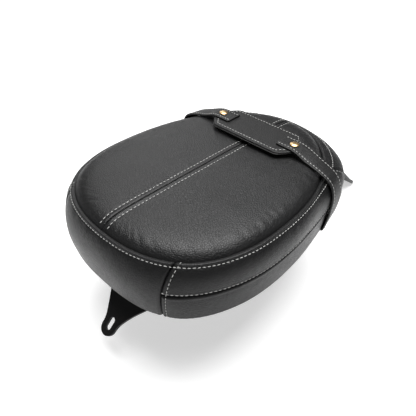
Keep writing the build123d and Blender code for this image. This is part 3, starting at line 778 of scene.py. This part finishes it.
# ------------------------------------------------------------------ stitches
def stitch_tree():
    """Geometry nodes: lays a stitch at every pitch along the lines it is given."""
    tree = bpy.data.node_groups.new("stitch_rows", "GeometryNodeTree")
    face = tree.interface
    face.new_socket("Lines", in_out="INPUT", socket_type="NodeSocketGeometry")
    ids = {}
    for label, value in (("Pitch", 0.0045), ("Stitch length", 0.0036), ("Thread width", 0.0009)):
        socket = face.new_socket(label, in_out="INPUT", socket_type="NodeSocketFloat")
        socket.default_value = value
        ids[label] = socket.identifier
    material = face.new_socket("Thread", in_out="INPUT", socket_type="NodeSocketMaterial")
    ids["Thread"] = material.identifier
    face.new_socket("Stitches", in_out="OUTPUT", socket_type="NodeSocketGeometry")
    n, link = tree.nodes, tree.links
    g_in, g_out = n.new("NodeGroupInput"), n.new("NodeGroupOutput")
    curve = n.new("GeometryNodeMeshToCurve")
    resample = n.new("GeometryNodeResampleCurve")
    resample.mode = "LENGTH"
    ball = n.new("GeometryNodeMeshUVSphere")
    ball.inputs["Segments"].default_value = 8
    ball.inputs["Rings"].default_value = 6
    ball.inputs["Radius"].default_value = 0.5
    smooth = n.new("GeometryNodeSetShadeSmooth")
    on_points = n.new("GeometryNodeInstanceOnPoints")
    tangent = n.new("GeometryNodeInputTangent")
    align = n.new("FunctionNodeAlignRotationToVector")
    align.axis = "X"
    size = n.new("ShaderNodeCombineXYZ")
    tilt = n.new("FunctionNodeRandomValue")
    tilt.data_type = "FLOAT_VECTOR"
    tilt.inputs["Seed"].default_value = 4
    tilt.inputs[0].default_value = (-0.03, -0.05, -0.09)
    tilt.inputs[1].default_value = (0.03, 0.05, 0.09)
    turn = n.new("FunctionNodeRotateRotation")
    turn.rotation_space = "LOCAL"
    realize = n.new("GeometryNodeRealizeInstances")
    set_material = n.new("GeometryNodeSetMaterial")
    link.new(g_in.outputs["Lines"], curve.inputs[0])
    link.new(curve.outputs[0], resample.inputs["Curve"])
    link.new(g_in.outputs["Pitch"], resample.inputs["Length"])
    link.new(ball.outputs["Mesh"], smooth.inputs[0])
    link.new(smooth.outputs[0], on_points.inputs["Instance"])
    link.new(resample.outputs[0], on_points.inputs["Points"])
    link.new(tangent.outputs[0], align.inputs["Vector"])
    link.new(align.outputs[0], turn.inputs[0])
    link.new(tilt.outputs[0], turn.inputs[1])
    link.new(turn.outputs[0], on_points.inputs["Rotation"])
    link.new(g_in.outputs["Stitch length"], size.inputs[0])
    link.new(g_in.outputs["Thread width"], size.inputs[1])
    link.new(g_in.outputs["Thread width"], size.inputs[2])
    link.new(size.outputs[0], on_points.inputs["Scale"])
    link.new(on_points.outputs[0], realize.inputs[0])
    link.new(realize.outputs[0], set_material.inputs["Geometry"])
    link.new(g_in.outputs["Thread"], set_material.inputs["Material"])
    link.new(set_material.outputs[0], g_out.inputs[0])
    return tree, ids


stitches_tree, stitch_ids = stitch_tree()


def world_tree(objects):
    """A search tree over the faces of some pieces, before their thickness is added."""
    vertices, faces = [], []
    for piece in objects:
        first = len(vertices)
        vertices += [v.co.copy() for v in piece.data.vertices]
        faces += [[first + i for i in p.vertices] for p in piece.data.polygons]
    return BVHTree.FromPolygons(vertices, faces)


thread_lift = 0.22 * MM


def stitched(name, rows, surface, pitch=4.5, length=3.2, width=0.78, closed=()):
    """Rows of stitches laid on a surface; rows are lists of points in the pad's coordinates, and
    closed has the numbers of those that run all the way round."""
    vertices, edges = [], []
    for number, row in enumerate(rows):
        first = len(vertices)
        for p in to_frame(row):
            spot, normal, _, _ = surface.find_nearest(Vector(p))
            vertices.append(spot + normal * thread_lift)
        count = len(vertices) - first
        edges += [(first + i, first + i + 1) for i in range(count - 1)]
        if number in closed:
            edges.append((first + count - 1, first))
    mesh = bpy.data.meshes.new(name)
    mesh.from_pydata(vertices, edges, [])
    lines = bpy.data.objects.new(name + "_lines", mesh)
    scene.collection.objects.link(lines)
    modifier = lines.modifiers.new("stitches", "NODES")
    modifier.node_group = stitches_tree
    modifier[stitch_ids["Pitch"]] = pitch * MM
    modifier[stitch_ids["Stitch length"]] = length * MM
    modifier[stitch_ids["Thread width"]] = width * MM
    modifier[stitch_ids["Thread"]] = thread
    deps = bpy.context.evaluated_depsgraph_get()
    plain_mesh = bpy.data.meshes.new_from_object(lines.evaluated_get(deps))
    lines.modifiers.remove(modifier)
    bpy.data.objects.remove(lines)
    plain_mesh.name = name
    made = bpy.data.objects.new(name, plain_mesh)
    scene.collection.objects.link(made)
    return made


def seam_row(seam, aside, t_low=0.02, t_high=0.985, count=60):
    """A row beside a corner seam, aside millimetres round the skirt from it."""
    t = np.linspace(t_low, t_high, count)
    q = seam(t)
    small = 0.01
    step = np.linalg.norm(skirt(q + small, t) - skirt(q, t), axis=1) / small
    return skirt(q + aside / step, t)


skirt_bvh = world_tree([piece for piece, _ in cover])
rim_row = np.linspace(0, loop_count, 700, endpoint=False)
rows = [skirt(rim_row, rim_stitch / skirt_run)]
band_row_t = band_t - band_stitch / skirt_run
clear = 0.03
q_rear, q_front = rear_seam(band_row_t)[0] + clear, front_seam(band_row_t)[0] - clear
for low, high in ((q_rear, q_front), (loop_count - q_front, loop_count - q_rear)):
    rows.append(skirt(np.linspace(low, high, 320), band_row_t))
rows.append(seam_row(rear_seam, corner_stitch))
rows.append(seam_row(front_seam, -corner_stitch))
rows.append(seam_row(on_left(rear_seam), -corner_stitch))
rows.append(seam_row(on_left(front_seam), corner_stitch))
seam_stitches = stitched("seam_stitches", rows, skirt_bvh, closed=(0,))

middle_rows = []
for sign in (-1, 1):
    y = np.linspace(-139.5, 152.5, 260)
    flat = np.stack([np.full(len(y), sign * middle_stitch), y], -1)
    middle_rows.append(np.concatenate([flat, crown_level(flat, rim_distance(flat))[:, None]], 1))
middle_stitches = stitched("middle_stitches", middle_rows, skirt_bvh, 4.9, 3.4, 0.82)

strap_bvh = world_tree(strap_pieces)
rear_edge, front_edge, _ = strap_surface(strap_steps)
strap_rows = []
strap_wide = 2 * strap_half
outside_top, outside_side = np.array([0, 0, strap_thick / 2]), np.array([strap_thick / 2, 0, 0])
for sign in (-1, 1):
    for share in (strap_stitch / strap_wide, (strap_wide - strap_stitch) / strap_wide):
        row = (rear_edge * (1 - share) + front_edge * share)[4:236]
        row = row + outside_top * (row[:, 2:] > 0) + outside_side * (row[:, 2:] <= 0)
        strap_rows.append(row * np.array([sign, 1, 1]))
strap_stitches = stitched("strap_stitches", strap_rows, strap_bvh, 4.2, 3.0, 0.76)

plate_bvh = world_tree([plate])
plate_rows = []
row_straight, row_end, row_slope = 45.5, 52, 1.15
for sign in (-1, 1):
    row = []
    for x in np.linspace(-row_end, row_end, 130):
        aside = plate_wide - plate_stitch - max(0, abs(x) - row_straight) * row_slope
        row.append((x, strap_y + sign * aside, plate_top))
    plate_rows.append(np.array(row))
plate_stitches = stitched("plate_stitches", plate_rows, plate_bvh, 4.4, 3.1, 0.78)

# ------------------------------------------------------------------ finishes of the CAD pieces
finishes = {
    "base_pan": pan_plastic, "rear_bracket": black_steel, "front_bracket": black_steel,
    "bracket_screws": zinc, "bracket_inserts": brass, "rubber_bumpers": rubber, "staples": zinc,
    "anchor_screws": zinc, "anchor_washers": zinc, "rivet_burrs": brass}
for name, material in finishes.items():
    data = nodes[name].data
    data.materials.clear()
    data.materials.append(material)

# ------------------------------------------------------------------ what moves with what
for piece, stands_for in cover:
    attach(piece, "pad")
    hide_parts(*stands_for)
for piece in (seam_stitches, middle_stitches):
    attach(piece, "pad")
# The strap's two sides are baked into the frame in place of its arms and tails.
for piece, side in zip(strap_pieces, ("right", "left")):
    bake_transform(piece)
    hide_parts(f"strap_arm_{side}", f"strap_tail_{side}")
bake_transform(strap_stitches)
for piece, node, slot in ((plate, "strap_plate", "strap"), (backing, "strap_backing", "strap"),
                          (caps, "strap_rivets", "brass")):
    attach(piece, "grab_strap")
    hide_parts(node)
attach(plate_stitches, "grab_strap")

# ------------------------------------------------------------------ floor, light and camera
def floor(half=6):
    """A wide white floor that glows a little, so that it stays pale round the soft shadow."""
    vertices = [(-half, -half, 0), (half, -half, 0), (half, half, 0), (-half, half, 0)]
    made = mesh_object("studio_floor", vertices, [(0, 1, 2, 3)], [], smooth=False)
    material, tree, shader = new_material("studio_floor")
    shader.inputs["Base Color"].default_value = (0.66, 0.66, 0.66, 1)
    shader.inputs["Emission Color"].default_value = (1, 1, 1, 1)
    shader.inputs["Emission Strength"].default_value = 0.55
    shader.inputs["Roughness"].default_value = 0.9
    made.data.materials.append(material)


def area_light(name, place, target, size, power):
    """A rectangular light at a place, turned to a target."""
    data = bpy.data.lights.new(name, "AREA")
    data.shape = "RECTANGLE"
    data.size, data.size_y = size
    data.energy = power
    made = bpy.data.objects.new(name, data)
    scene.collection.objects.link(made)
    made.location = place
    made.rotation_euler = (Vector(target) - Vector(place)).to_track_quat("-Z", "Y").to_euler()


floor()
area_light("overhead", place=(0.0, 0.05, 1.5), target=(0, 0, 0.1), size=(1.3, 1.2), power=45)
area_light("far_left", place=(-1.4, 0.8, 1.0), target=(0, 0, 0.15), size=(0.9, 1.0), power=5.5)
world = bpy.data.worlds.new("studio")
scene.world = world
world.use_nodes = True
backdrop = world.node_tree.nodes["Background"]
backdrop.inputs["Color"].default_value = (1, 1, 1, 1)
seen = world.node_tree.nodes.new("ShaderNodeLightPath").outputs["Is Camera Ray"]
# The sky lights the pad weakly, but is nearly white to the camera.
sky_fill, sky_seen = 0.12, 0.9
extra = maths(world.node_tree, "MULTIPLY", seen, sky_seen - sky_fill)
world.node_tree.links.new(maths(world.node_tree, "ADD", extra, sky_fill), backdrop.inputs["Strength"])
scene.view_settings.view_transform = "Standard"

# The camera looks down at the rear right corner; its place is in the pad's coordinates.
camera_place = (305.6, -305.0, 291.0)
camera_aim = Vector((-0.5501, 0.5528, -0.6259))
camera = bpy.data.objects.new("camera", bpy.data.cameras.new("camera"))
scene.collection.objects.link(camera)
camera.data.sensor_width = 36.0
camera.data.lens = 39.36
camera.data.clip_start = 0.01
camera.location = to_frame(camera_place)
camera.rotation_euler = camera_aim.to_track_quat("-Z", "Y").to_euler()
scene.camera = camera
